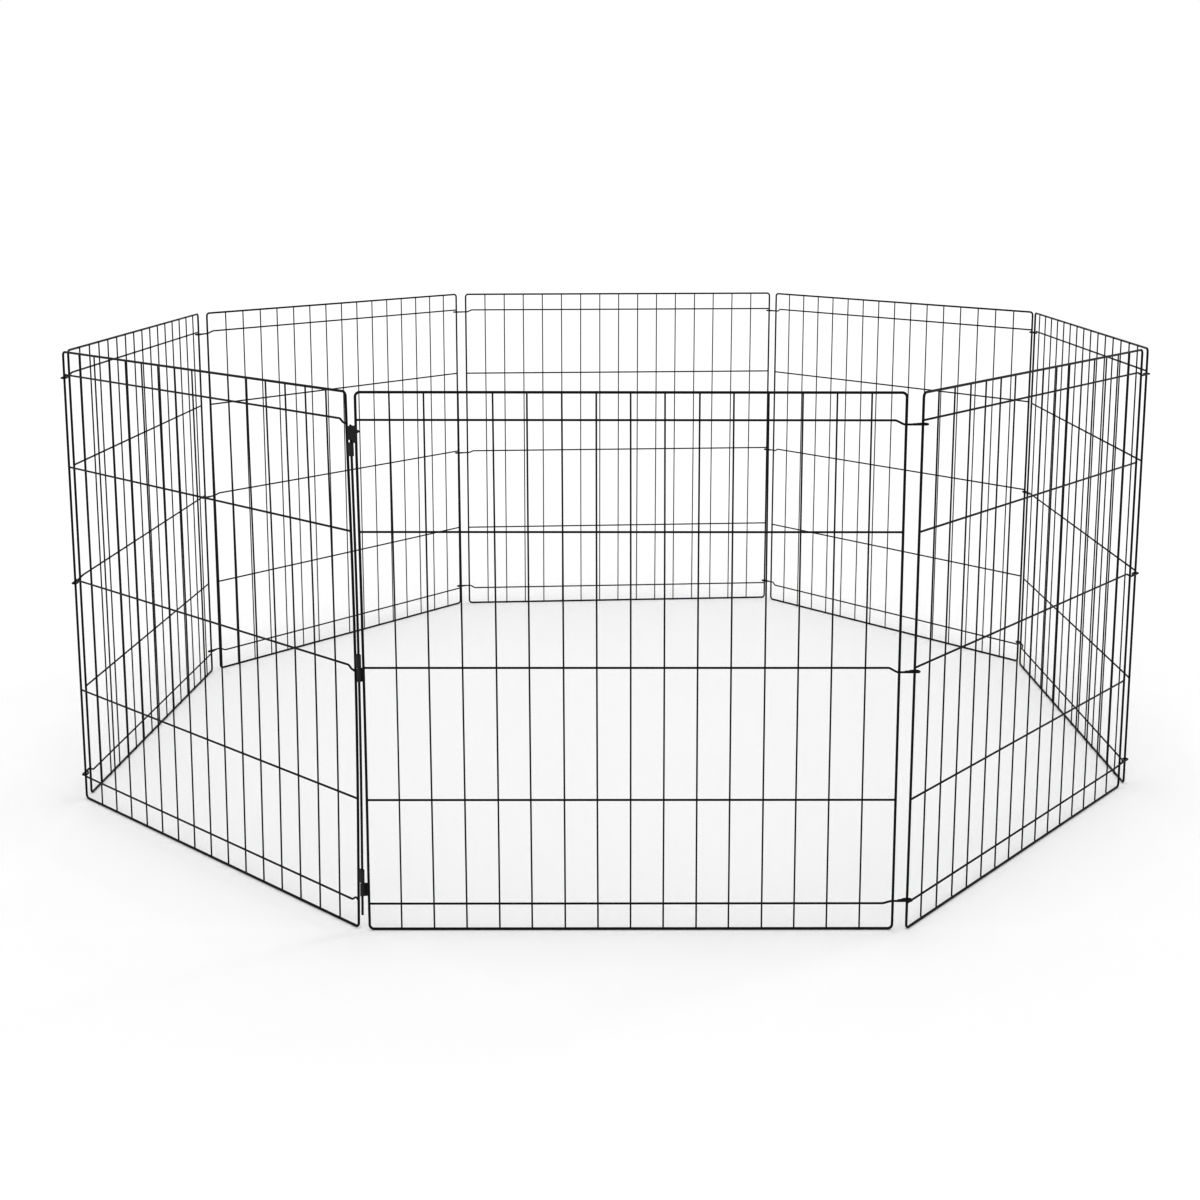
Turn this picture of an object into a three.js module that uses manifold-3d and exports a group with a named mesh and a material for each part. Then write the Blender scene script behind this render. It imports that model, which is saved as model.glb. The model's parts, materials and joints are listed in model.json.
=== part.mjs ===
// A free-standing folding pen for pets: eight square wire panels hinged in a chain and closed by a drop rod.
// Millimetres, +Z up. The pen stands on z = 0 and its origin is the centre of its footprint.
// Every panel is built in its own frame: x runs along the panel from the centre line of its left upright,
// +y points into the pen, and z = 0 is the floor. Panels run anticlockwise seen from above.
import * as THREE from 'three';
import { mergeVertices } from 'three/addons/utils/BufferGeometryUtils.js';
import Module from 'manifold-3d';

const wasm = await Module();
wasm.setup();

// ---- Driving dimensions ----
const PANEL_COUNT = 8;
const PANEL_WIDTH = 591;          // outside of one upright to outside of the other
const PANEL_HEIGHT = 609.6;       // floor to the top of the top rail
const FRAME_WIRE = 2.8;           // wire diameters
const CROSS_WIRE = 2.3;
const BAR_WIRE = 1.8;
const CORNER_RADIUS = 5;          // bend of the frame wire, at its centre line
const BAR_COUNT = 15;
const END_WIRE_INSET = 29.8;      // rail to the nearest hinge wire, centre to centre
const HINGE_GAP = 18;             // a panel's right upright to the next panel's left upright
const TURNS = [50.5, 39.8, 40.8, 53.2, 46.2];   // turn at the first five hinges, degrees
const CLEARANCE = 0.3;            // between pieces that touch
const CUT_MARGIN = 1;             // by which a cutter overshoots
const MERGE_DISTANCE = 1e-4;      // corners closer than this are one corner
const RUNNING = 0.35;             // between a hinge loop and the upright inside it
const WELD_SINK = 0.2;            // how far welded wires run into each other

// Hinge wires
const JOGGLE_DROP = 4;            // height by which a hinge wire steps aside of its neighbour's wire
const JOGGLE_START = 11;          // distances from the right upright
const JOGGLE_END = 2.6;
const LOOP_REACH = 6.5;           // how far a loop reaches past the upright inside it

// Latch
const ROD_WIRE = 2.6;
const ROD_BOTTOM = 18;
const ROD_TOP = 573.7;
const ROD_DOME = 1;               // height of the rounded top
const BARREL_OFFSET = 7.2;        // last panel's right upright to the rod
const KEEPER_OFFSET = 5.6;        // rod to the first panel's left upright
const BARRELS = {                 // bottom and top of each barrel, on the last panel
  top: [539.4, 553.7],
  middle: [305.3, 319.8],
  bottom: [56.4, 71.4],
};
const KEEPERS = {                 // bottom and top of each keeper, on the first panel
  top: [557.3, 572.2],
  middle: [289.7, 304.9],
  bottom: [41, 55.8],
};
const KEEPER_RADIUS = 2;          // inside of a keeper, which the rod leaves sideways
const MOUTH_DIRECTION = 157;      // way by which the rod leaves a keeper, degrees from the panel
const MOUTH_OPENING = 120;        // part of the circle that is left open there
const STRAP_WALL = 0.95;
const FLANGE = 2.4;               // the strap's two ends, pressed together and welded to an upright

// Catch plate on the front of the top keeper, with a heel beside the upright and a finger tab past it
const PLATE_REACH = 3.4;          // past the rod
const HEEL_WIDTH = 4.1;
const HEEL_DROP = 3.3;
const TAB_REACH = 4.4;            // past the upright
const TAB_CENTRE = 5.8;           // below the keeper's top
const TAB_ROOT = 6;
const TAB_TIP = 1.5;

// ---- Sizes that follow ----
const FRAME_R = FRAME_WIRE / 2;
const SPAN = PANEL_WIDTH - FRAME_WIRE;        // between the uprights' centre lines
const TOP_RAIL = PANEL_HEIGHT - FRAME_R;
const BOTTOM_RAIL = FRAME_R;
const RISE = TOP_RAIL - BOTTOM_RAIL;
const PITCH = SPAN + HINGE_GAP;               // hinge axis to hinge axis
const FRAME_SIDES = 8;
const FRAME_CORNER = FRAME_R / Math.cos(Math.PI / FRAME_SIDES);
const squareSide = (diameter) => diameter * Math.sqrt(Math.PI / 4);   // square wire of equal area
const CROSS_SIDE = squareSide(CROSS_WIRE);
const BAR_SIDE = squareSide(BAR_WIRE);
const BAR_Y = FRAME_R + CLEARANCE + BAR_SIDE / 2;
const GRID_WIRE_Y = BAR_Y - BAR_SIDE / 2 - CROSS_SIDE / 2 + WELD_SINK;
const HINGE_WIRE_Y = BAR_Y - BAR_SIDE / 2 - CROSS_SIDE / 2 - CLEARANCE;
const LEG_Y = FRAME_CORNER + RUNNING + CROSS_SIDE / 2;    // hinge wire beside an upright
const WIRE_START = FRAME_R + CLEARANCE;       // cross wires stop short of the uprights' surface

const FINISH = {
  wire: { color: 0x17181a, roughness: 0.42, metalness: 0.3 },
  fitting: { color: 0x2b2c2f, roughness: 0.55, metalness: 0.3 },
};

const degrees = (angle) => THREE.MathUtils.degToRad(angle);

// ---- Wires ----

/** A path that puts one ring of a swept section at each station, mitred at the bends. */
class WirePath extends THREE.Curve {
  constructor(stations, closed = false) {
    super();
    this.stations = stations;
    this.closed = closed;
  }

  getPointAt(u, target = new THREE.Vector3()) {
    return target.copy(this.stations[Math.round(u * (this.stations.length - 1))]);
  }

  getTangentAt(u, target = new THREE.Vector3()) {
    const last = this.stations.length - 1;
    const i = Math.round(u * last);
    const atEnd = i === 0 || i === last;
    const before = this.closed && atEnd ? last - 1 : Math.max(i - 1, 0);
    const after = this.closed && atEnd ? 1 : Math.min(i + 1, last);
    const here = this.stations[i];
    const arriving = here.clone().sub(this.stations[before]).normalize();
    const leaving = this.stations[after].clone().sub(here).normalize();
    return target.copy(arriving).add(leaving).normalize();
  }
}

/** A regular section with flats square to the axes; radius is at its corners. */
function section(sides, radius) {
  const points = [];
  for (let i = 0; i < sides; i += 1) {
    const angle = (2 * Math.PI * (i + 0.5)) / sides;
    points.push(new THREE.Vector2(radius * Math.cos(angle), radius * Math.sin(angle)));
  }
  return new THREE.Shape(points);
}

const CROSS_SECTION = section(4, CROSS_SIDE * Math.SQRT1_2);

/** Positions only, with shared corners merged, as the boolean library and a closed body need. */
function weld(geometry) {
  const bare = geometry.clone();
  bare.deleteAttribute('normal');
  bare.deleteAttribute('uv');
  return mergeVertices(bare, MERGE_DISTANCE);
}

function sweep(stations, profile) {
  return new THREE.ExtrudeGeometry(profile, {
    steps: stations.length - 1,
    extrudePath: new WirePath(stations),
    bevelEnabled: false,
  });
}

/** A sweep whose last station is its first: the end caps are left out and the ends are merged. */
function sweepRing(stations, profile) {
  const open = new THREE.ExtrudeGeometry(profile, {
    steps: stations.length - 1,
    extrudePath: new WirePath(stations, true),
    bevelEnabled: false,
  });
  const sides = open.groups.find((group) => group.materialIndex === 1);
  const all = open.getAttribute('position').array;
  const ring = new THREE.BufferGeometry();
  const kept = all.slice(3 * sides.start, 3 * (sides.start + sides.count));
  ring.setAttribute('position', new THREE.BufferAttribute(kept, 3));
  return weld(ring);
}

// ---- Boolean joins and cuts ----

function solid(geometry) {
  const closed = weld(geometry);
  return new wasm.Manifold(new wasm.Mesh({
    numProp: 3,
    vertProperties: new Float32Array(closed.getAttribute('position').array),
    triVerts: new Uint32Array(closed.index.array),
  }));
}

function geometryOf(manifold) {
  const mesh = manifold.getMesh();
  const geometry = new THREE.BufferGeometry();
  geometry.setAttribute('position', new THREE.BufferAttribute(new Float32Array(mesh.vertProperties), 3));
  geometry.setIndex(new THREE.BufferAttribute(new Uint32Array(mesh.triVerts), 1));
  return geometry;
}

function box(width, depth, height, x, y, z) {
  return solid(new THREE.BoxGeometry(width, depth, height).translate(x, y, z));
}

function namedMesh(name, geometry, finish) {
  geometry.computeVertexNormals();
  const mesh = new THREE.Mesh(geometry, new THREE.MeshStandardMaterial(FINISH[finish]));
  mesh.name = name;
  return mesh;
}

// ---- Panel pieces ----

/** The perimeter wire: a square loop with bent corners, standing flat on the floor. */
function frameLoop() {
  const bends = [
    [SPAN - CORNER_RADIUS, BOTTOM_RAIL + CORNER_RADIUS, -90],
    [SPAN - CORNER_RADIUS, TOP_RAIL - CORNER_RADIUS, 0],
    [CORNER_RADIUS, TOP_RAIL - CORNER_RADIUS, 90],
    [CORNER_RADIUS, BOTTOM_RAIL + CORNER_RADIUS, 180],
  ];
  const stepsPerBend = 3;
  const stations = [new THREE.Vector3(SPAN / 2, 0, BOTTOM_RAIL)];
  for (const [x, z, from] of bends) {
    for (let i = 0; i <= stepsPerBend; i += 1) {
      const angle = degrees(from + (90 * i) / stepsPerBend);
      const along = CORNER_RADIUS * Math.cos(angle);
      const up = CORNER_RADIUS * Math.sin(angle);
      stations.push(new THREE.Vector3(x + along, 0, z + up));
    }
  }
  stations.push(stations[0].clone());
  return sweepRing(stations, section(FRAME_SIDES, FRAME_CORNER));
}

/** The vertical bars and the two plain cross wires, welded to each other. */
function barGrid() {
  let grid = null;
  const join = (piece) => {
    grid = grid ? grid.add(piece) : piece;
  };
  const crossLength = SPAN - 2 * WIRE_START;
  for (const share of [1 / 4, 3 / 4]) {
    const height = BOTTOM_RAIL + share * RISE;
    join(box(crossLength, CROSS_SIDE, CROSS_SIDE, SPAN / 2, GRID_WIRE_Y, height));
  }
  for (let i = 1; i <= BAR_COUNT; i += 1) {
    const x = (SPAN * i) / (BAR_COUNT + 1);
    join(box(BAR_SIDE, BAR_SIDE, RISE, x, BAR_Y, BOTTOM_RAIL + RISE / 2));
  }
  return geometryOf(grid);
}

/** A cross wire bent at its right end into a loop round the next panel's left upright. */
function hingeWire(height, step) {
  const level = height + step;
  const loopCentre = PITCH + LOOP_REACH - LEG_Y - CROSS_SIDE / 2;
  const stations = [
    new THREE.Vector3(WIRE_START, HINGE_WIRE_Y, height),
    new THREE.Vector3(SPAN - JOGGLE_START, HINGE_WIRE_Y, height),
    new THREE.Vector3(SPAN - JOGGLE_END, -LEG_Y, level),
  ];
  const stepsPerLoop = 4;
  for (let i = 0; i <= stepsPerLoop; i += 1) {
    const angle = degrees(-90 + (180 * i) / stepsPerLoop);
    const along = LEG_Y * Math.cos(angle);
    const across = LEG_Y * Math.sin(angle);
    stations.push(new THREE.Vector3(loopCentre + along, across, level));
  }
  const nestled = -LEG_Y + CROSS_SIDE + CLEARANCE;
  stations.push(new THREE.Vector3(PITCH - LEG_Y, LEG_Y, level));
  stations.push(new THREE.Vector3(PITCH - HINGE_GAP / 2, nestled, level));
  return sweep(stations, CROSS_SECTION);
}

/** The last panel has no neighbour to hook, so its hinge wires step aside and stop at its own upright. */
function plainEndWire(height, step) {
  const stations = [
    new THREE.Vector3(WIRE_START, HINGE_WIRE_Y, height),
    new THREE.Vector3(SPAN - JOGGLE_START, HINGE_WIRE_Y, height),
    new THREE.Vector3(SPAN - JOGGLE_END - WIRE_START, HINGE_WIRE_Y, height + step),
    new THREE.Vector3(SPAN - WIRE_START, HINGE_WIRE_Y, height + step),
  ];
  return sweep(stations, CROSS_SECTION);
}

const HINGE_WIRES = [
  { place: 'top', height: TOP_RAIL - END_WIRE_INSET, step: -JOGGLE_DROP },
  { place: 'middle', height: BOTTOM_RAIL + RISE / 2, step: -JOGGLE_DROP },
  { place: 'bottom', height: BOTTOM_RAIL + END_WIRE_INSET, step: JOGGLE_DROP },
];

function buildPanel(number) {
  const panel = new THREE.Group();
  panel.add(namedMesh(`panel_${number}_frame`, frameLoop(), 'wire'));
  panel.add(namedMesh(`panel_${number}_grid`, barGrid(), 'wire'));
  const shape = number < PANEL_COUNT ? hingeWire : plainEndWire;
  for (const { place, height, step } of HINGE_WIRES) {
    panel.add(namedMesh(`panel_${number}_hinge_wire_${place}`, shape(height, step), 'wire'));
  }
  return panel;
}

// ---- Latch ----

const STRAP_SIDES = 12;
const ROD_CORNER = ROD_WIRE / 2 / Math.cos(Math.PI / FRAME_SIDES);
const BARREL_RADIUS = (ROD_CORNER + CLEARANCE) / Math.cos(Math.PI / STRAP_SIDES);
const FLANGE_END = FRAME_CORNER + CLEARANCE;     // a flange stops beside its upright

function post(radius, x, base, length) {
  const geometry = new THREE.CylinderGeometry(radius, radius, length, STRAP_SIDES);
  return solid(geometry.rotateX(Math.PI / 2).translate(x, 0, base + length / 2));
}

/** A sheet-metal strap rolled round the rod at rodX, with a flange out to the upright at uprightX. */
function strap(uprightX, rodX, [base, top], bore) {
  const length = top - base;
  const end = uprightX + FLANGE_END * Math.sign(rodX - uprightX);
  const flange = box(Math.abs(rodX - end), FLANGE, length, (rodX + end) / 2, 0, base + length / 2);
  return post(bore + STRAP_WALL, rodX, base, length)
    .add(flange)
    .subtract(post(bore, rodX, base - CUT_MARGIN, length + 2 * CUT_MARGIN));
}

function barrel(reach) {
  return geometryOf(strap(SPAN, SPAN + BARREL_OFFSET, reach, BARREL_RADIUS));
}

/** A keeper is open on the side by which the rod leaves when the ring is unfolded. */
function keeper([base, top], withPlate) {
  const mouthDepth = 2 * KEEPER_RADIUS;
  const mouthWidth = 2 * KEEPER_RADIUS * Math.sin(degrees(MOUTH_OPENING / 2));
  const mouth = new THREE.BoxGeometry(mouthDepth, mouthWidth, top - base + 2 * CUT_MARGIN)
    .translate(mouthDepth / 2, 0, 0)
    .rotateZ(degrees(MOUTH_DIRECTION))
    .translate(-KEEPER_OFFSET, 0, (base + top) / 2);
  let body = strap(0, -KEEPER_OFFSET, [base, top], KEEPER_RADIUS).subtract(solid(mouth));
  if (withPlate) {
    body = body.add(catchPlate(base, top));
  }
  return geometryOf(body);
}

/** A plate across the front of the top keeper, from beside the last upright to a finger tab. */
function catchPlate(base, top) {
  const left = -KEEPER_OFFSET - PLATE_REACH;
  const tab = top - TAB_CENTRE;
  const outline = new THREE.Shape([
    new THREE.Vector2(left, base),
    new THREE.Vector2(-HEEL_WIDTH, base),
    new THREE.Vector2(-HEEL_WIDTH, base - HEEL_DROP),
    new THREE.Vector2(0, base - HEEL_DROP),
    new THREE.Vector2(0, tab - TAB_ROOT / 2),
    new THREE.Vector2(TAB_REACH, tab - TAB_TIP / 2),
    new THREE.Vector2(TAB_REACH, tab + TAB_TIP / 2),
    new THREE.Vector2(0, tab + TAB_ROOT / 2),
    new THREE.Vector2(0, top),
    new THREE.Vector2(left, top),
  ]);
  const blade = new THREE.ExtrudeGeometry(outline, { depth: STRAP_WALL, bevelEnabled: false });
  return solid(blade.rotateX(Math.PI / 2).translate(0, -KEEPER_RADIUS, 0));
}

function latchRod() {
  const profile = [
    new THREE.Vector2(0, ROD_BOTTOM),
    new THREE.Vector2(ROD_CORNER, ROD_BOTTOM),
    new THREE.Vector2(ROD_CORNER, ROD_TOP - ROD_DOME),
    new THREE.Vector2(ROD_CORNER / 2, ROD_TOP),
    new THREE.Vector2(0, ROD_TOP),
  ];
  return new THREE.LatheGeometry(profile, FRAME_SIDES).rotateX(Math.PI / 2);
}

function addBarrels(panel) {
  for (const [place, reach] of Object.entries(BARRELS)) {
    panel.add(namedMesh(`latch_barrel_${place}`, barrel(reach), 'fitting'));
  }
  const rod = namedMesh('latch_rod', latchRod(), 'wire');
  rod.position.x = SPAN + BARREL_OFFSET;
  panel.add(rod);
}

function addKeepers(panel) {
  for (const [place, reach] of Object.entries(KEEPERS)) {
    panel.add(namedMesh(`latch_keeper_${place}`, keeper(reach, place === 'top'), 'fitting'));
  }
}

// ---- The ring ----

const headingOf = (from, to) => Math.atan2(to.y - from.y, to.x - from.x);
const ahead = (from, heading, distance) => new THREE.Vector2(
  from.x + distance * Math.cos(heading),
  from.y + distance * Math.sin(heading),
);

/** The left upright and heading of each panel; the last two panels are turned so that the ring closes. */
function layOutRing() {
  const places = [{ at: new THREE.Vector2(0, 0), heading: 0 }];
  for (const turn of TURNS) {
    const { at, heading } = places.at(-1);
    places.push({ at: ahead(at, heading, PITCH), heading: heading + degrees(turn) });
  }
  const sixth = places.at(-1);
  const seventhAt = ahead(sixth.at, sixth.heading, PITCH);
  const rodAt = new THREE.Vector2(-KEEPER_OFFSET, 0);
  const reach = SPAN + BARREL_OFFSET;
  const distance = seventhAt.distanceTo(rodAt);
  const cosine = (PITCH ** 2 + distance ** 2 - reach ** 2) / (2 * PITCH * distance);
  const seventhHeading = headingOf(seventhAt, rodAt) - Math.acos(cosine);
  const eighthAt = ahead(seventhAt, seventhHeading, PITCH);
  places.push({ at: seventhAt, heading: seventhHeading });
  places.push({ at: eighthAt, heading: headingOf(eighthAt, rodAt) });
  return places;
}

const pen = new THREE.Group();
layOutRing().forEach(({ at, heading }, i) => {
  const panel = buildPanel(i + 1);
  panel.position.set(at.x, at.y, 0);
  panel.rotation.z = heading;
  if (i === 0) {
    addKeepers(panel);
  }
  if (i === PANEL_COUNT - 1) {
    addBarrels(panel);
  }
  pen.add(panel);
});

const footprint = new THREE.Box3().setFromObject(pen, true);
const middle = footprint.getCenter(new THREE.Vector3());
pen.position.set(-middle.x, -middle.y, 0);
pen.updateMatrixWorld(true);

export default pen;
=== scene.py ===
"""Looks for the folding pet pen: wires, welds, latch straps, finishes, floor, light and camera.

Metres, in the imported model's frame. Every panel is made in its own frame, as the CAD panels are:
x runs along the panel from the centre line of its left upright, +y points into the pen and z = 0 is
the floor.
"""
import json
import math
import random

import bpy
import numpy as np
from mathutils import Matrix, Vector


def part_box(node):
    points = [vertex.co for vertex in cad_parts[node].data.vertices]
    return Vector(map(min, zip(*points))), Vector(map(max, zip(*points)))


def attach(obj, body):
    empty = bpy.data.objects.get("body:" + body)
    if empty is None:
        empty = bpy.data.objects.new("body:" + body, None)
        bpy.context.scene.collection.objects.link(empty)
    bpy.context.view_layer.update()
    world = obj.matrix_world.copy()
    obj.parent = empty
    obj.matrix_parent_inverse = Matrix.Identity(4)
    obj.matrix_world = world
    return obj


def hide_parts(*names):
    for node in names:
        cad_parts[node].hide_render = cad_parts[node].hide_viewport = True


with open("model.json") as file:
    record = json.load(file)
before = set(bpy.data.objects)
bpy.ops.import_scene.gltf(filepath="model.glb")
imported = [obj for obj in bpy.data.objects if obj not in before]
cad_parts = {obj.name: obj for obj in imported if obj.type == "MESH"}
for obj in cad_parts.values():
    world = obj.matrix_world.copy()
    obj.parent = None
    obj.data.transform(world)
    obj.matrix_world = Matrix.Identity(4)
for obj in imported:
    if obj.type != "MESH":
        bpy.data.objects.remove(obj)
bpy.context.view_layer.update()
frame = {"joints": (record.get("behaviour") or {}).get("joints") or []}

MM = 0.001
PANEL_COUNT = 8
BAR_COUNT = 15

# Wires, as in the CAD model
FRAME_R = 1.4 * MM
CROSS_R = 1.15 * MM
BAR_R = 0.9 * MM
ROD_R = 1.3 * MM
CORNER_RADIUS = 5 * MM        # of the perimeter wire
WELD_SINK = 0.2 * MM          # how deep welded wires sink into each other

# Hinges, as in the CAD model
HINGE_GAP = 18 * MM           # a right upright to the next panel's left one, which is the pin
END_WIRE_INSET = 29.8 * MM    # a rail to the hinge wire next to it
JOGGLE_DROP = 4 * MM          # a hinge wire steps up or down by this much
JOGGLE_START = 11 * MM        # between these distances from its own right upright
JOGGLE_END = 2.6 * MM
LOOP_REACH = 6.5 * MM         # the pin to the outside of the loop round it
LEG_Y = 2.88 * MM             # the pin to the loop's legs in front of it and behind it

# Latch, as in the CAD model
BARREL_OFFSET = 7.2 * MM      # last panel's right upright to the rod
KEEPER_OFFSET = 5.6 * MM      # rod to the first panel's left upright

# How the loose pen in the photo departs from the CAD model
LAST_UPRIGHT_BOW = 1.4 * MM   # how far the uprights beside the rod bend towards it at mid height
FIRST_UPRIGHT_BOW = 1.6 * MM
LEAN_AT_FOOT = 2.1 * MM       # the first panel hangs askew, with its foot this far to the right
LEAN_FADES_OVER = 6 * MM      # past its right upright its hinge wires come back to the hinge line
SEAM_SHIFT = 1.2 * MM         # the seam at the rod is this far to the right at either end,
SEAM_BOW = 2.6 * MM           # and this much further in the middle
SEAM_FADES_OVER = 50 * MM     # along the first panel

BAR_Y = FRAME_R + BAR_R - WELD_SINK
CROSS_Y = BAR_Y - BAR_R - CROSS_R + WELD_SINK

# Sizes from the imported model: panel 1 stands along X
LOW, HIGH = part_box("panel_1_frame")
SPAN = HIGH.x - LOW.x - 2 * FRAME_R
TOP_RAIL = HIGH.z - FRAME_R
BOTTOM_RAIL = LOW.z + FRAME_R
RISE = TOP_RAIL - BOTTOM_RAIL
PITCH = SPAN + HINGE_GAP
ROD_LOW, ROD_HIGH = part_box("latch_rod")
ROD_X = SPAN + BARREL_OFFSET  # along the last panel

# Heights of the wires across each panel, and for the hinge wires the step of the joggle
CROSS_HEIGHTS = [BOTTOM_RAIL + RISE * share for share in (1 / 4, 3 / 4)]
HINGE_WIRES = {
    "top": (TOP_RAIL - END_WIRE_INSET, -JOGGLE_DROP),
    "middle": (BOTTOM_RAIL + RISE / 2, -JOGGLE_DROP),
    "bottom": (BOTTOM_RAIL + END_WIRE_INSET, JOGGLE_DROP),
}


# ---------------------------------------------------------------- places

def panel_places():
    """Matrix of each panel, which runs from the hinge at its left upright to the next panel's."""
    uprights = [Vector((LOW.x + FRAME_R, (LOW.y + HIGH.y) / 2))]
    hinges = {joint["name"]: joint for joint in frame["joints"]}
    for number in range(1, PANEL_COUNT):
        x, y, _ = hinges[f"fold_{number}_{number + 1}"]["pos_m"]
        uprights.append(Vector((x, y)))
    uprights.append(((ROD_LOW + ROD_HIGH) / 2).xy)
    places = []
    for here, after in zip(uprights, uprights[1:]):
        heading = (after - here).angle_signed(Vector((1, 0)))
        places.append(Matrix.Translation((here.x, here.y, 0)) @ Matrix.Rotation(heading, 4, "Z"))
    return places


# ---------------------------------------------------------------- materials

BLUISH = 1.04                 # the blue of a grey, against its red and green
WORN_GAIN, WORN_LIFT = 3.2, 0.01
GLOSSIER, DULLER = 0.07, 0.1  # how far a coat's roughness wanders to either side


def grey(value):
    return (value, value, value * BLUISH)


def node(tree, kind, **inputs):
    """A shader node with these values in its sockets."""
    made = tree.nodes.new(kind)
    for name, value in inputs.items():
        made.inputs[name.replace("_", " ")].default_value = value
    return made


def new_material(name):
    material = bpy.data.materials.new(name)
    material.use_nodes = True
    tree = material.node_tree
    tree.nodes.clear()
    shader = tree.nodes.new("ShaderNodeBsdfPrincipled")
    output = tree.nodes.new("ShaderNodeOutputMaterial")
    tree.links.new(shader.outputs["BSDF"], output.inputs["Surface"])
    place = tree.nodes.new("ShaderNodeTexCoord")
    return material, tree, shader, place


def ramp(tree, source, low, high, dark, light):
    """A colour ramp from dark below low to light above high."""
    made = tree.nodes.new("ShaderNodeValToRGB")
    for element, position, colour in zip(made.color_ramp.elements, (low, high), (dark, light)):
        element.position = position
        element.color = (*colour, 1)
    tree.links.new(source, made.inputs["Fac"])
    return made.outputs["Color"]


def coated_steel(name, dark, light, roughness, peel_depth, specular, stretch=(1, 1, 1)):
    """Black coat over steel: slow changes of shade and gloss, orange peel, a few rubbed specks."""
    material, tree, shader, place = new_material(name)
    mapping = node(tree, "ShaderNodeMapping", Scale=stretch)
    tree.links.new(place.outputs["Object"], mapping.inputs["Vector"])
    cloud = node(tree, "ShaderNodeTexNoise", Scale=45, Detail=4, Roughness=0.6)
    peel = node(tree, "ShaderNodeTexNoise", Scale=1700, Detail=2, Roughness=0.5)
    specks = node(tree, "ShaderNodeTexNoise", Scale=520, Detail=5, Roughness=0.7)
    for texture in (cloud, peel, specks):
        tree.links.new(mapping.outputs["Vector"], texture.inputs["Vector"])
    shade = ramp(tree, cloud.outputs["Fac"], low=0.35, high=0.7, dark=grey(dark), light=grey(light))
    rubbed = ramp(tree, specks.outputs["Fac"], low=0.7, high=0.78, dark=(0, 0, 0), light=(1, 1, 1))
    mix = tree.nodes.new("ShaderNodeMix")
    mix.data_type = "RGBA"
    worn = tuple(min(1, WORN_GAIN * v + WORN_LIFT) for v in grey(light))
    mix.inputs["B"].default_value = (*worn, 1)
    tree.links.new(rubbed, mix.inputs["Factor"])
    tree.links.new(shade, mix.inputs["A"])
    tree.links.new(mix.outputs["Result"], shader.inputs["Base Color"])
    gloss = node(
        tree, "ShaderNodeMapRange",
        From_Min=0.3, From_Max=0.7, To_Min=roughness - GLOSSIER, To_Max=roughness + DULLER,
    )
    tree.links.new(cloud.outputs["Fac"], gloss.inputs["Value"])
    tree.links.new(gloss.outputs["Result"], shader.inputs["Roughness"])
    bump = node(tree, "ShaderNodeBump", Strength=0.35, Distance=peel_depth)
    tree.links.new(peel.outputs["Fac"], bump.inputs["Height"])
    tree.links.new(bump.outputs["Normal"], shader.inputs["Normal"])
    shader.inputs["Specular IOR Level"].default_value = specular
    return material


# Name, darkest and lightest grey, roughness, peel depth, specular level, stretch of the texture
WIRE_COAT = coated_steel("black_wire_coat", 0.003, 0.006, 0.4, 0.05 * MM, 0.16)
BAR_COAT = coated_steel("black_bar_coat", 0.003, 0.006, 0.44, 0.04 * MM, 0.16)
WELD_COAT = coated_steel("black_weld_coat", 0.003, 0.007, 0.55, 0.08 * MM, 0.14)
ROD_COAT = coated_steel("rod_coat", 0.003, 0.006, 0.36, 0.03 * MM, 0.18, (1, 1, 0.06))
STRAP_COAT = coated_steel("strap_coat", 0.004, 0.01, 0.46, 0.05 * MM, 0.42, (1, 1, 0.3))


# ---------------------------------------------------------------- wire geometry

# Sides of the round sections, and steps of the bends
FRAME_SIDES = 20
CROSS_SIDES = 14
HINGE_SIDES = 16
BAR_SIDES = 12
ROD_SIDES = 20
BEND_STEPS = 6
PLATE_CORNER_STEPS = 4

# A wire's cut end: how far in from the tip, and how thick there, both in radii
CUT_END = ((0, 0.72), (0.12, 0.93), (0.4, 1))

PARALLEL = 0.1                # directions with a sine below this give no clear normal


def new_object(name, vertices, faces, material):
    mesh = bpy.data.meshes.new(name)
    mesh.from_pydata([tuple(v) for v in vertices], [], faces)
    mesh.validate()
    mesh.shade_smooth()
    mesh.materials.append(material)
    made = bpy.data.objects.new(name, mesh)
    bpy.context.scene.collection.objects.link(made)
    return made


def tube(points, radii, sides, closed=False):
    """Vertices and faces of a round tube along points, its section carried along without twist."""
    points = np.asarray(points, float)
    count = len(points)
    if closed:
        tangents = np.roll(points, -1, axis=0) - np.roll(points, 1, axis=0)
    else:
        tangents = np.gradient(points, axis=0)
    tangents /= np.linalg.norm(tangents, axis=1)[:, None]
    normal = np.cross(tangents[0], (0.0, 1.0, 0.0))
    if np.linalg.norm(normal) < PARALLEL:
        normal = np.cross(tangents[0], (1.0, 0.0, 0.0))
    angles = 2 * math.pi * np.arange(sides) / sides
    vertices = []
    for point, tangent, radius in zip(points, tangents, radii):
        normal = normal - tangent * normal.dot(tangent)
        normal /= np.linalg.norm(normal)
        across = np.cross(tangent, normal)
        ring = np.cos(angles)[:, None] * normal + np.sin(angles)[:, None] * across
        vertices.append(point + ring * radius)
    faces = []
    for i in range(count if closed else count - 1):
        here, after = i * sides, ((i + 1) % count) * sides
        for j in range(sides):
            k = (j + 1) % sides
            faces.append((here + j, here + k, after + k, after + j))
    if not closed:
        faces.append(tuple(reversed(range(sides))))
        faces.append(tuple((count - 1) * sides + j for j in range(sides)))
    return np.concatenate(vertices), faces


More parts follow.
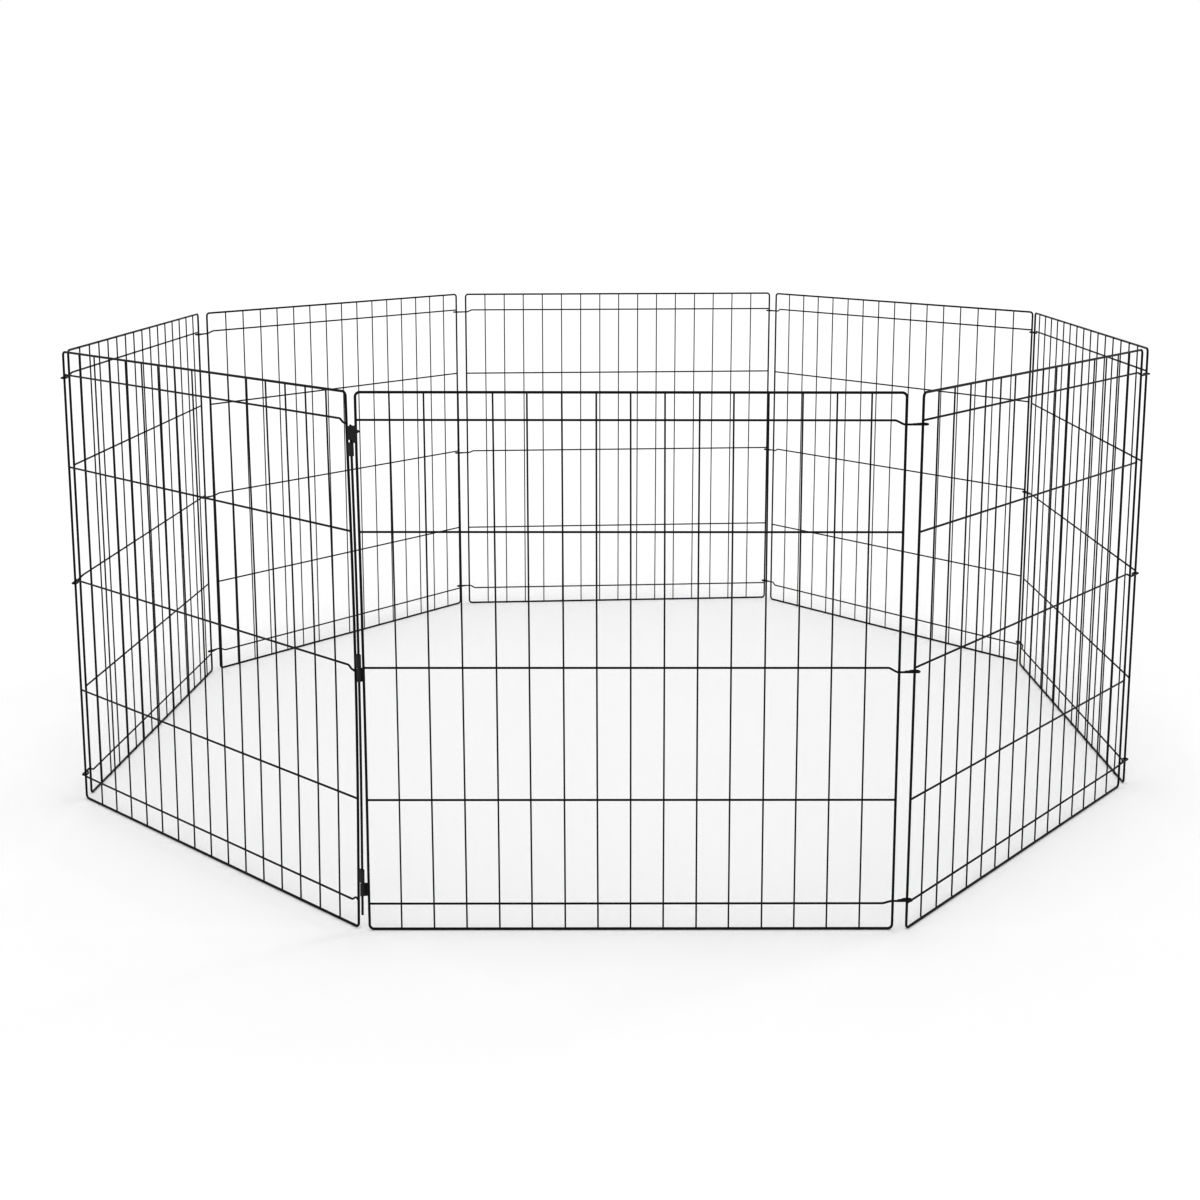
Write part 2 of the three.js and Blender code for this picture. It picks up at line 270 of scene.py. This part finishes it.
def wire(points, radius, sides):
    """A round wire with its ends cut square and slightly broken at the edge."""
    points = [np.asarray(p, float) for p in points]
    ends = []
    for tip, inner in ((points[0], points[1]), (points[-1], points[-2])):
        inward = (inner - tip) / np.linalg.norm(inner - tip)
        ends.append([tip + inward * inset * radius for inset, _ in CUT_END])
    edge = [share * radius for _, share in CUT_END]
    path = ends[0] + points[1:-1] + ends[1][::-1]
    return tube(path, edge + [radius] * (len(points) - 2) + edge[::-1], sides)


def join(parts):
    vertices, faces, base = [], [], 0
    for v, f in parts:
        vertices.append(np.asarray(v))
        faces.extend(tuple(base + i for i in face) for face in f)
        base += len(v)
    return np.concatenate(vertices), faces


def curve(start, corner, end, steps):
    """Points of a bend from start to end, where it runs along the lines to the corner."""
    shares = (i / steps for i in range(steps + 1))
    return [start * (1 - t) ** 2 + corner * 2 * t * (1 - t) + end * t * t for t in shares]


def bent(corners, radius):
    """A path through corners, each inner one rounded to about the given bend radius."""
    longest = 0.48            # share of a leg that a bend may take
    corners = [Vector(c) for c in corners]
    path = [corners[0]]
    for before, corner, after in zip(corners, corners[1:], corners[2:]):
        arriving, leaving = corner - before, after - corner
        half_turn = arriving.angle(leaving) / 2
        reach = min(
            radius * math.tan(half_turn), longest * arriving.length, longest * leaving.length,
        )
        start = corner - arriving.normalized() * reach
        end = corner + leaving.normalized() * reach
        path += curve(start, corner, end, BEND_STEPS)
    path.append(corners[-1])
    return path


def arc(cx, cz, radius, start, end, steps):
    """Points of an arc in the panel's plane, in degrees."""
    points = []
    for i in range(steps + 1):
        angle = math.radians(start + (end - start) * i / steps)
        points.append((cx + radius * math.cos(angle), 0, cz + radius * math.sin(angle)))
    return points


# ---------------------------------------------------------------- panels

BAR_OFFSET = 0.25 * MM        # most that a bar may stand to either side of its place,
BAR_BOW = 0.35 * MM           # and that it may bow

# Hinge wires: the lead runs to the loop and the tail is bent back beside it
LEAD_BEND = 5 * MM            # bend radii
TAIL_BEND = 4 * MM
TAIL_NESTLES = 0.42 * HINGE_GAP   # the pin to where the tail comes to lie beside the lead,
TAIL_ENDS = 0.6 * HINGE_GAP       # and to its end
TAIL_GAP = 0.1 * MM

# Weld nuggets: half their size along x, y and z
CROSS_WELD = (1.25 * MM, 0.6 * MM, 1.2 * MM)      # a bar on a wire across the panel
RAIL_WELD = (1.25 * MM, 0.7 * MM, 1.3 * MM)       # a bar on a rail
UPRIGHT_WELD = (0.8 * MM, 1.35 * MM, 1.4 * MM)    # the end of a wire on an upright
PASSING_WELD = (1.1 * MM, 0.7 * MM, 1.2 * MM)     # a hinge wire in front of its right upright
BEAD_WELD = (0.75 * MM, 1.35 * MM, 1.05 * MM)     # each nugget of a fitting's bead
BEAD_PITCH = 1.5 * MM
NUGGET_SIZES = (0.88, 1.12)       # least and most of these sizes that a nugget has,
NUGGET_ROUNDNESS = (0.95, 1.05)   # and of its radius at any vertex


def bowed(height, bow):
    """How far a wire that is bent by bow at mid height stands off its straight line."""
    return bow * math.sin(math.pi * (height - BOTTOM_RAIL) / RISE)


def frame_wire(left_bow, right_bow):
    """The perimeter wire, with its uprights bent outwards by these amounts."""
    low_x, high_x = CORNER_RADIUS, SPAN - CORNER_RADIUS
    low_z, high_z = BOTTOM_RAIL + CORNER_RADIUS, TOP_RAIL - CORNER_RADIUS
    steps = 10
    path = arc(high_x, low_z, CORNER_RADIUS, -90, 0, steps)
    for i in range(1, steps):
        z = low_z + (high_z - low_z) * i / steps
        path.append((SPAN + bowed(z, right_bow), 0, z))
    path += arc(high_x, high_z, CORNER_RADIUS, 0, 90, steps)
    path += arc(low_x, high_z, CORNER_RADIUS, 90, 180, steps)
    for i in range(1, steps):
        z = high_z + (low_z - high_z) * i / steps
        path.append((-bowed(z, left_bow), 0, z))
    path += arc(low_x, low_z, CORNER_RADIUS, 180, 270, steps)
    return tube(path, [FRAME_R] * len(path), FRAME_SIDES, closed=True)


def bar_places(rng):
    """x of each bar at its ends, and how far it bows sideways at mid height."""
    places = []
    for i in range(1, BAR_COUNT + 1):
        x = SPAN * i / (BAR_COUNT + 1) + rng.uniform(-BAR_OFFSET, BAR_OFFSET)
        places.append((x, rng.uniform(-BAR_BOW, BAR_BOW)))
    return places


def bar_wires(places):
    parts = []
    steps = 8
    for x, bow in places:
        heights = (BOTTOM_RAIL + RISE * i / steps for i in range(steps + 1))
        path = [(x + bowed(z, bow), BAR_Y, z) for z in heights]
        parts.append(wire(path, BAR_R, BAR_SIDES))
    return parts


def wire_ends(height, left_bow, right_bow):
    """Where a wire between the uprights starts and ends, sunk a little into their welds."""
    inset = FRAME_R - WELD_SINK
    return inset - bowed(height, left_bow), SPAN - inset + bowed(height, right_bow)


def cross_wire(height, left_bow, right_bow):
    start, end = wire_ends(height, left_bow, right_bow)
    path = [(x, CROSS_Y, height) for x in (start, SPAN / 2, end)]
    return wire(path, CROSS_R, CROSS_SIDES)


def hinge_wire(height, step, left_bow, right_bow):
    """The loop is bent round the next panel's left upright, which turns in it."""
    start, _ = wire_ends(height, left_bow, right_bow)
    level = height + step
    loop_x = PITCH + LOOP_REACH - LEG_Y - CROSS_R
    lead = bent([
        (start, CROSS_Y, height),
        (SPAN - JOGGLE_START, CROSS_Y, height),
        (SPAN - JOGGLE_END, -LEG_Y, level),
        (loop_x, -LEG_Y, level),
    ], LEAD_BEND)
    turn = []
    steps = 14
    for i in range(steps + 1):
        angle = math.radians(-90 + 180 * i / steps)
        turn.append(Vector((loop_x + LEG_Y * math.cos(angle), LEG_Y * math.sin(angle), level)))
    nestled = -LEG_Y + 2 * CROSS_R + TAIL_GAP
    tail = bent([
        turn[-1],
        (PITCH - LEG_Y, LEG_Y, level),
        (PITCH - TAIL_NESTLES, nestled, level),
        (PITCH - TAIL_ENDS, nestled, level),
    ], TAIL_BEND)
    return wire(lead[:-1] + turn + tail[1:], CROSS_R, HINGE_SIDES)


def plain_end_wire(height, step, left_bow, right_bow):
    """The last panel's hinge wire. It stops at its own right upright, where the latch is."""
    start, end = wire_ends(height, left_bow, right_bow)
    path = bent([
        (start, CROSS_Y, height),
        (SPAN - JOGGLE_START, CROSS_Y, height),
        (SPAN - JOGGLE_END - 2 * FRAME_R, CROSS_Y, height + step),
        (end, CROSS_Y, height + step),
    ], LEAD_BEND)
    return wire(path, CROSS_R, HINGE_SIDES)


def nugget(centre, size, rng):
    """The squeezed metal of a resistance weld: a small uneven pillow."""
    sides, rows = 10, 5
    centre = np.array(centre)
    across, deep, tall = [s * rng.uniform(*NUGGET_SIZES) for s in size]
    vertices = [centre + (0, 0, -tall)]
    for row in range(1, rows):
        tilt = math.pi * row / rows - math.pi / 2
        for j in range(sides):
            angle = 2 * math.pi * j / sides
            reach = math.cos(tilt) * rng.uniform(*NUGGET_ROUNDNESS)
            x, y = across * reach * math.cos(angle), deep * reach * math.sin(angle)
            vertices.append(centre + (x, y, tall * math.sin(tilt)))
    vertices.append(centre + (0, 0, tall))
    top = len(vertices) - 1
    faces = []
    for j in range(sides):
        k = (j + 1) % sides
        faces.append((0, 1 + k, 1 + j))
        for row in range(rows - 2):
            a, b = 1 + row * sides, 1 + (row + 1) * sides
            faces.append((a + j, a + k, b + k, b + j))
        last = 1 + (rows - 2) * sides
        faces.append((last + j, last + k, top))
    return np.array(vertices), faces


def weld_nuggets(places, rng, left_bow, right_bow):
    """At every bar's crossings, then at the ends of the wires across the panel."""
    parts = []
    heights = CROSS_HEIGHTS + [height for height, _ in HINGE_WIRES.values()]
    for x, bow in places:
        for z in heights:
            parts.append(nugget((x + bowed(z, bow), BAR_Y - BAR_R, z), CROSS_WELD, rng))
        for z in (BOTTOM_RAIL, TOP_RAIL):
            parts.append(nugget((x, BAR_Y - BAR_R, z), RAIL_WELD, rng))
    for z in heights:
        parts.append(nugget((FRAME_R - bowed(z, left_bow), CROSS_Y, z), UPRIGHT_WELD, rng))
    for z in CROSS_HEIGHTS:
        x = SPAN - FRAME_R + bowed(z, right_bow)
        parts.append(nugget((x, CROSS_Y, z), UPRIGHT_WELD, rng))
    for z, step in HINGE_WIRES.values():
        parts.append(nugget((SPAN, -FRAME_R - WELD_SINK, z + step), PASSING_WELD, rng))
    return parts


def lean(z):
    """How far the first panel is to the right of its place, which it keeps at the top."""
    return LEAN_AT_FOOT * (1 - z / HIGH.z)


def seam_shift(z):
    """How far the rod, its fittings and the uprights beside it are to the right of their places."""
    share = np.clip((z - ROD_LOW.z) / (ROD_HIGH.z - ROD_LOW.z), 0, 1)
    return SEAM_SHIFT + SEAM_BOW * np.sin(np.pi * share)


def eased(part, number, place):
    """Moves a part of the first or last panel from its true place to where the loose pen has it."""
    vertices, faces = part
    x, z = vertices[:, 0], vertices[:, 2]
    shift = np.zeros(len(vertices))
    if number == 1:
        past = np.clip((x - SPAN - FRAME_R) / LEAN_FADES_OVER, 0, 1)
        shift = lean(z) * (1 - past) + seam_shift(z) * np.clip(1 - x / SEAM_FADES_OVER, 0, 1)
    elif number == PANEL_COUNT:
        shift = seam_shift(z) * np.clip(x / SPAN, 0, 1)
    right = np.array(place.to_3x3().inverted() @ Vector((1, 0, 0)))
    return vertices + shift[:, None] * right, faces


def add_piece(name, parts, material, place, body, slot, *nodes):
    """Joins parts into one piece that rides on a body. It replaces these nodes of the CAD model."""
    made = new_object(name, *join(parts), material)
    made.matrix_world = place
    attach(made, body)
    if nodes:
        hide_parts(*nodes)


def add_panel(number, place):
    rng = random.Random(number)
    prefix = f"panel_{number}"
    places = bar_places(rng)
    first, last = number == 1, number == PANEL_COUNT
    bows = (FIRST_UPRIGHT_BOW if first else 0, LAST_UPRIGHT_BOW if last else 0)

    def add(name, parts, material, *nodes):
        parts = [eased(part, number, place) for part in parts]
        add_piece(f"{prefix}_{name}", parts, material, place, prefix, "wire", *nodes)

    add("perimeter_wire", [frame_wire(*bows)], WIRE_COAT, f"{prefix}_frame")
    grid = bar_wires(places) + [cross_wire(height, *bows) for height in CROSS_HEIGHTS]
    add("bars", grid, BAR_COAT, f"{prefix}_grid")
    shape = plain_end_wire if last else hinge_wire
    for level, (height, step) in HINGE_WIRES.items():
        made = [shape(height, step, *bows)]
        add(f"{level}_hinge_wire", made, WIRE_COAT, f"{prefix}_hinge_wire_{level}")
    add("weld_nuggets", weld_nuggets(places, rng, *bows), WELD_COAT)


# ---------------------------------------------------------------- latch

STRAP = 0.9 * MM
STRAP_EDGE = 0.28 * MM             # radius of a strap's edges
LAYER = STRAP / 2 + 0.02 * MM      # a flange's middle to the centre of either layer of it
ROD_HOLE = 1.65 * MM
KEEPER_HOLE = 1.9 * MM
MOUTH = (97, 217)                  # angles between which a keeper is open round the rod, degrees
FLANGE_BEND = 12                   # degrees of the roll that the bend into a flange takes
ROLL_STEP = 9                      # degrees
PLATE_REACH = 3.4 * MM             # catch plate: past the rod, towards the last panel
PLATE_RIGHT = 0.6 * MM             # its right edge, past the upright's centre line
PLATE_CORNER = 0.7 * MM
PLATE_EDGE = 0.2 * MM
HEEL_WIDTH = 4.1 * MM
HEEL_DROP = 3.3 * MM
TAB_REACH = 4.3 * MM
TAB_CENTRE = 5.8 * MM              # below the plate's top
TAB_ROOT = 2.6 * MM                # half the finger tab's height at its root,
TAB_TIP = 0.7 * MM                 # and at its tip
ROD_CUT = 0.15 * MM                # height of the broken edge at the rod's foot,
ROD_CUT_SHARE = 0.8                # and the share of the rod's radius that it leaves there


def band(path, height):
    """A strip of sheet metal on edge, with rounded edges, along a path in the floor's plane."""
    path = [Vector(p) for p in path]
    count = len(path)
    flat_t, flat_h = STRAP / 2 - STRAP_EDGE, height / 2 - STRAP_EDGE
    section = []
    for cx, cz, start in (
        (flat_t, flat_h, 0), (-flat_t, flat_h, 90), (-flat_t, -flat_h, 180), (flat_t, -flat_h, 270),
    ):
        for turn in (0, 30, 60, 90):
            angle = math.radians(start + turn)
            section.append((cx + STRAP_EDGE * math.cos(angle), cz + STRAP_EDGE * math.sin(angle)))
    sides = len(section)
    vertices, faces = [], []
    for i, point in enumerate(path):
        along = (path[min(i + 1, count - 1)] - path[max(i - 1, 0)]).normalized()
        across = Vector((along.y, -along.x))
        for offset, lift in section:
            spot = point + across * offset
            vertices.append((spot.x, spot.y, lift))
    for i in range(count - 1):
        here, after = i * sides, (i + 1) * sides
        for j in range(sides):
            k = (j + 1) % sides
            faces.append((here + j, after + j, after + k, here + k))
    faces.append(tuple(range(sides)))
    faces.append(tuple(reversed([(count - 1) * sides + j for j in range(sides)])))
    return np.array(vertices), faces


def ring_points(radius, start, end):
    """Points round the origin in the floor's plane, between two angles in degrees."""
    steps = max(2, round(abs(end - start) / ROLL_STEP))
    points = []
    for i in range(steps + 1):
        angle = math.radians(start + (end - start) * i / steps)
        points.append(Vector((radius * math.cos(angle), radius * math.sin(angle))))
    return points


def flange_angle(radius):
    """How far round the roll from the flange's middle its layers turn off, degrees."""
    return math.degrees(math.asin(LAYER / radius)) + FLANGE_BEND


def barrel_bands(flange):
    """A roll round the rod at the origin. Its two ends lie together in a flange towards -x."""
    radius = ROD_HOLE + STRAP / 2
    turn = 180 - flange_angle(radius)
    roll = ring_points(radius, -turn, turn)
    return [[Vector((-flange, -LAYER))] + roll + [Vector((-flange, LAYER))]]


def keeper_bands(flange):
    """A roll that is open at its mouth, with its flange towards +x."""
    radius = KEEPER_HOLE + STRAP / 2
    turn = flange_angle(radius)
    back = [Vector((flange, LAYER))] + ring_points(radius, turn, MOUTH[0])
    front = [Vector((flange, -LAYER))] + ring_points(radius, -turn, MOUTH[1] - 360)
    return [back, front]


def strap_parts(bands, x, low, high):
    """Bands round a rod that stands at x, from low to high."""
    parts = []
    for path in bands:
        vertices, faces = band(path, high - low)
        parts.append((vertices + (x, 0, (low + high) / 2), faces))
    return parts


def weld_bead(x, low, high, rng):
    """A run of weld metal up the seam between a flange and its upright."""
    count = int((high - low) / BEAD_PITCH)
    return [nugget((x, 0, low + BEAD_PITCH * (i + 0.5)), BEAD_WELD, rng) for i in range(count)]


def rounded_outline(corners, radius):
    """A closed outline of plane points with its corners rounded."""
    longest = 0.45            # share of a side that a corner may take
    points = []
    count = len(corners)
    for i in range(count):
        before, corner, after = (Vector(corners[(i + j) % count]) for j in (-1, 0, 1))
        to_before, to_after = before - corner, after - corner
        reach = min(radius, longest * to_before.length, longest * to_after.length)
        start = corner + to_before.normalized() * reach
        end = corner + to_after.normalized() * reach
        points += curve(start, corner, end, PLATE_CORNER_STEPS)
    return points


def plate(corners, back):
    """A sheet-metal plate in the panel's plane, with broken edges. Corners run anticlockwise."""
    outline = rounded_outline(corners, PLATE_CORNER)
    count = len(outline)
    inset = []
    for i, point in enumerate(outline):
        along = (outline[(i + 1) % count] - outline[i - 1]).normalized()
        inset.append(point + Vector((-along.y, along.x)) * PLATE_EDGE)
    front = back - STRAP
    rows = (
        (inset, front), (outline, front + PLATE_EDGE), (outline, back - PLATE_EDGE), (inset, back),
    )
    vertices = [(p.x, y, p.y) for row, y in rows for p in row]
    faces = [tuple(range(count)), tuple(reversed(range(3 * count, 4 * count)))]
    for row in range(3):
        for j in range(count):
            k = (j + 1) % count
            a, b = row * count, (row + 1) * count
            faces.append((a + k, a + j, b + j, b + k))
    return np.array(vertices), faces


def catch_plate(low, top):
    """Across the front of the top keeper: a heel beside the upright and a finger tab past it."""
    left = -KEEPER_OFFSET - PLATE_REACH
    tab = top - TAB_CENTRE
    corners = [
        (left, low), (-HEEL_WIDTH, low),
        (-HEEL_WIDTH, low - HEEL_DROP), (PLATE_RIGHT, low - HEEL_DROP),
        (PLATE_RIGHT, tab - TAB_ROOT), (TAB_REACH, tab - TAB_TIP),
        (TAB_REACH, tab + TAB_TIP), (PLATE_RIGHT, tab + TAB_ROOT),
        (PLATE_RIGHT, top), (left, top),
    ]
    return plate(corners, -KEEPER_HOLE)


def with_seam(part):
    """Moves a part of the first panel's fittings to the right as far as the seam there."""
    vertices, faces = part
    return vertices + seam_shift(vertices[:, 2])[:, None] * np.array((1, 0, 0)), faces


def add_barrel(level, place, rng):
    """Strap rolled round the rod, with its flange welded to the last panel's right upright."""
    low, high = (corner.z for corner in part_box(f"latch_barrel_{level}"))
    upright = SPAN + bowed((low + high) / 2, LAST_UPRIGHT_BOW) + FRAME_R
    parts = strap_parts(barrel_bands(ROD_X - upright), ROD_X, low, high)
    parts += weld_bead(upright, low, high, rng)
    parts = [eased(part, PANEL_COUNT, place) for part in parts]
    add_piece(
        f"latch_{level}_barrel_strap", parts, STRAP_COAT, place, "panel_8", "fitting",
        f"latch_barrel_{level}",
    )


def add_keeper(level, place, rng):
    """Strap round the rod, with its flange welded to the first panel's left upright."""
    low, high = (corner.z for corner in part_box(f"latch_keeper_{level}"))
    low += HEEL_DROP if level == "top" else 0
    middle = (low + high) / 2
    upright = lean(middle) - FRAME_R - bowed(middle, FIRST_UPRIGHT_BOW)
    parts = strap_parts(keeper_bands(upright + KEEPER_OFFSET), -KEEPER_OFFSET, low, high)
    parts += weld_bead(upright, low, high, rng)
    if level == "top":
        parts.append(catch_plate(low, high))
    parts = [with_seam(part) for part in parts]
    add_piece(
        f"latch_{level}_keeper_strap", parts, STRAP_COAT, place, "panel_1", "fitting",
        f"latch_keeper_{level}",
    )


def drop_rod():
    """The rod, still straight: cut square below with its edge broken, rounded off at the top."""
    foot, top = ROD_LOW.z, ROD_HIGH.z
    rows = [(foot, ROD_CUT_SHARE), (foot + ROD_CUT, 1)]
    stations = 20
    rows += [(foot + (top - foot) * i / stations, 1) for i in range(1, stations)]
    steps = 7
    for i in range(steps):
        angle = math.radians(90 * i / steps)
        rows.append((top - ROD_R * (1 - math.sin(angle)), math.cos(angle)))
    points = [(ROD_X, 0, z) for z, _ in rows]
    return tube(points, [ROD_R * share for _, share in rows], ROD_SIDES)


def add_latch(places):
    first, last = places[0], places[-1]
    rng = random.Random(PANEL_COUNT + 1)
    for level in ("top", "middle", "bottom"):
        add_barrel(level, last, rng)
        add_keeper(level, first, rng)
    rod = eased(drop_rod(), PANEL_COUNT, last)
    add_piece("latch_drop_rod", [rod], ROD_COAT, last, "latch_rod", "wire", "latch_rod")


PLACES = panel_places()
for number, place in enumerate(PLACES, start=1):
    add_panel(number, place)
add_latch(PLACES)


# ---------------------------------------------------------------- floor, light and camera

FLOOR_TONE = 0.98
# Painted shade: the floor's colour is made a little darker inside the pen, where the pen's shade
# falls
FLOOR_TONE_IN_PAINTED_SHADE = 0.935            # the floor is a little darker inside the pen
# The painted shade is full out to the first radius and gone at the second, in metres from the
# middle
PAINTED_SHADE_FULL_RADIUS, PAINTED_SHADE_END_RADIUS = 0.7, 0.9
FLOOR_REACH = 60                     # from the middle to each side

# The camera of the fit to the photo
SENSOR_WIDTH, LENS = 36, 51.5        # mm
SHIFT_X, SHIFT_Y = -0.0088, -0.1031
CAMERA_PLACE = (-0.0172, -2.578, 0.8382)
YAW, PITCH_DOWN, ROLL = 0.346, 10.034, -0.094    # degrees
PICTURE_GAMMA = 0.8                  # photographic contrast: thin dark wires stay dark


def floor_material():
    """Matt white paper, with painted shade: darker inside the pen, fading out past its panels."""
    material, tree, shader, place = new_material("floor_paper_with_painted_shade")
    distance = tree.nodes.new("ShaderNodeVectorMath")
    distance.operation = "LENGTH"
    tree.links.new(place.outputs["Object"], distance.inputs[0])
    # Painted shade: the paper's colour ramps from darker inside the pen to its own white past the
    # panels
    inside, outside = (FLOOR_TONE_IN_PAINTED_SHADE,) * 3, (FLOOR_TONE,) * 3
    paper_tone_with_painted_shade = ramp(tree, distance.outputs["Value"], PAINTED_SHADE_FULL_RADIUS, PAINTED_SHADE_END_RADIUS, inside, outside)
    tree.links.new(paper_tone_with_painted_shade, shader.inputs["Base Color"])
    shader.inputs["Roughness"].default_value = 1
    shader.inputs["Specular IOR Level"].default_value = 0
    return material


def add_floor():
    signs = ((-1, -1), (1, -1), (1, 1), (-1, 1))
    corners = [(x * FLOOR_REACH, y * FLOOR_REACH, 0) for x, y in signs]
    new_object("studio_floor", np.array(corners), [(0, 1, 2, 3)], floor_material())


def add_sun(name, direction, softness, strength):
    """Parallel light in this direction, from a disc that is softness degrees wide."""
    light = bpy.data.lights.new(name, "SUN")
    light.angle = math.radians(softness)
    light.energy = strength
    lamp = bpy.data.objects.new(name, light)
    lamp.rotation_euler = Vector(direction).to_track_quat("-Z", "Y").to_euler()
    bpy.context.scene.collection.objects.link(lamp)


def add_world(strength):
    """Even white light from all sides."""
    world = bpy.data.worlds.new("studio")
    world.use_nodes = True
    background = world.node_tree.nodes["Background"]
    background.inputs["Color"].default_value = (1, 1, 1, 1)
    background.inputs["Strength"].default_value = strength
    bpy.context.scene.world = world


def add_camera():
    camera = bpy.data.cameras.new("camera")
    camera.sensor_width = SENSOR_WIDTH
    camera.lens = LENS
    camera.shift_x = SHIFT_X
    camera.shift_y = SHIFT_Y
    camera.clip_end = 200
    eye = bpy.data.objects.new("camera", camera)
    yaw, pitch, roll = (math.radians(a) for a in (YAW, PITCH_DOWN, ROLL))
    eye.location = CAMERA_PLACE
    forward = Vector((
        math.sin(yaw) * math.cos(pitch), math.cos(yaw) * math.cos(pitch), -math.sin(pitch),
    ))
    level = forward.to_track_quat("-Z", "Y")
    eye.rotation_mode = "QUATERNION"
    eye.rotation_quaternion = level @ Matrix.Rotation(-roll, 4, "Z").to_quaternion()
    bpy.context.scene.collection.objects.link(eye)
    bpy.context.scene.camera = eye


add_floor()
add_world(strength=1.0)
add_sun("key_light", direction=(-0.55, -0.35, -0.76), softness=6, strength=0.2)
add_camera()
bpy.context.scene.view_settings.view_transform = "Standard"
bpy.context.scene.view_settings.gamma = PICTURE_GAMMA
